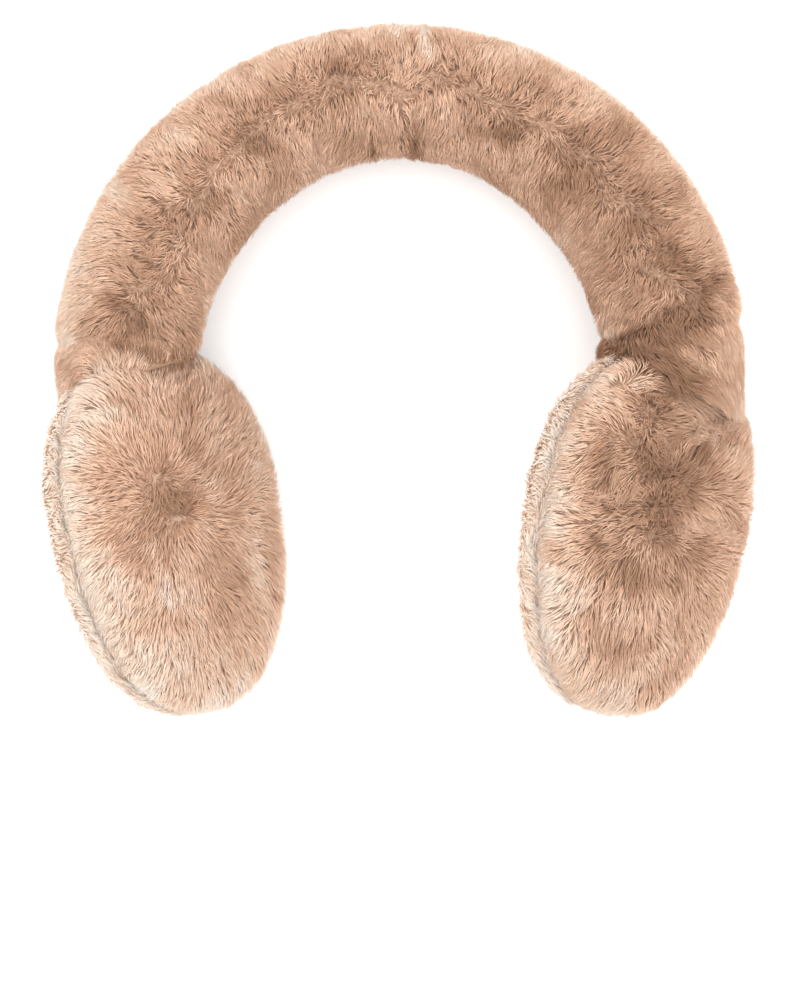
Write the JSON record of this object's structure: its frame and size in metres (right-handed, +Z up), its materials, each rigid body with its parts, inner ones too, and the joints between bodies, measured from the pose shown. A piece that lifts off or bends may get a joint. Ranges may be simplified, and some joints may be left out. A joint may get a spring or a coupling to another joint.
{
  "type": "fur earmuffs",
  "caption": "Fur earmuffs: a thick fur-covered band bent to a half circle over the head, with an oval fur pad for the ear at each end.",
  "frame": {"origin": "the bottom centre of the bounding box, on the floor under the hollow of the arch", "axes": "+X to the right of the picture, +Y from the pads towards the crown, +Z up, out of the side that faces the camera in the picture"},
  "size_m": [0.2332, 0.2238, 0.0743],
  "materials": {
    "band_fur": "short dense faux fur pile, beige with a tan undercoat",
    "collar_fur": "short dense faux fur pile, darker tan in the shade of the neck",
    "pad_fur": "short dense faux fur pile, beige with lighter tips"
  },
  "bodies": {
    "root": {"headband": "band_fur", "left_collar": "collar_fur", "left_pad_inner": "pad_fur", "left_pad_outer": "pad_fur", "right_collar": "collar_fur", "right_pad_inner": "pad_fur", "right_pad_outer": "pad_fur"}
  },
  "joints": []
}
